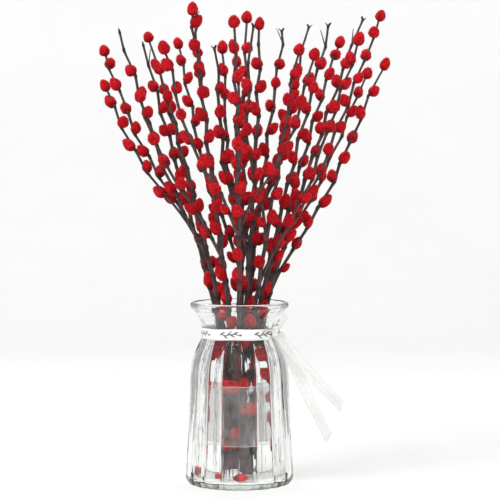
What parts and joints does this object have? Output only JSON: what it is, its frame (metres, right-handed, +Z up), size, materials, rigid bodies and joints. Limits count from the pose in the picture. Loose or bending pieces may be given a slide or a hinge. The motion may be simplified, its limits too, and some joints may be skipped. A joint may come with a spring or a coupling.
{
  "type": "bunch of pussy willow branches in a glass vase",
  "caption": "Tall bunch of red-dyed pussy willow branches standing in a fluted clear glass vase, with a film sleeve round the stems and a white ribbon tied round the neck.",
  "frame": {"origin": "middle of the flat underside of the vase", "axes": "+Z up along the axis of the vase, -Y towards the front, +X towards the side with the bow"},
  "size_m": [0.3333, 0.3233, 0.5411],
  "materials": {
    "glass": "clear pressed glass, polished, thick greenish foot",
    "film": "thin translucent wrapping film, slightly creased",
    "ribbon": "white woven satin ribbon with a small dark printed sprig",
    "willow": "dark grey-brown bark with red velvety catkins",
    "catkin": "dyed red, velvety, matt, with fine silky hairs"
  },
  "bodies": {
    "root": {"vase": "glass", "film_sleeve": "film", "ribbon_band": "ribbon", "ribbon_knot": "ribbon", "ribbon_bow_loop": "ribbon", "ribbon_tail_long": "ribbon", "ribbon_tail_short": "ribbon", "branch_01": "willow", "branch_02": "willow", "branch_03": "willow", "branch_04": "willow", "branch_05": "willow", "branch_06": "willow", "branch_07": "willow", "branch_08": "willow", "branch_09": "willow", "branch_10": "willow", "branch_11": "willow", "branch_12": "willow", "branch_13": "willow", "branch_14": "willow", "fallen_catkin_1": "catkin", "fallen_catkin_2": "catkin", "fallen_catkin_3": "catkin"}
  },
  "joints": []
}
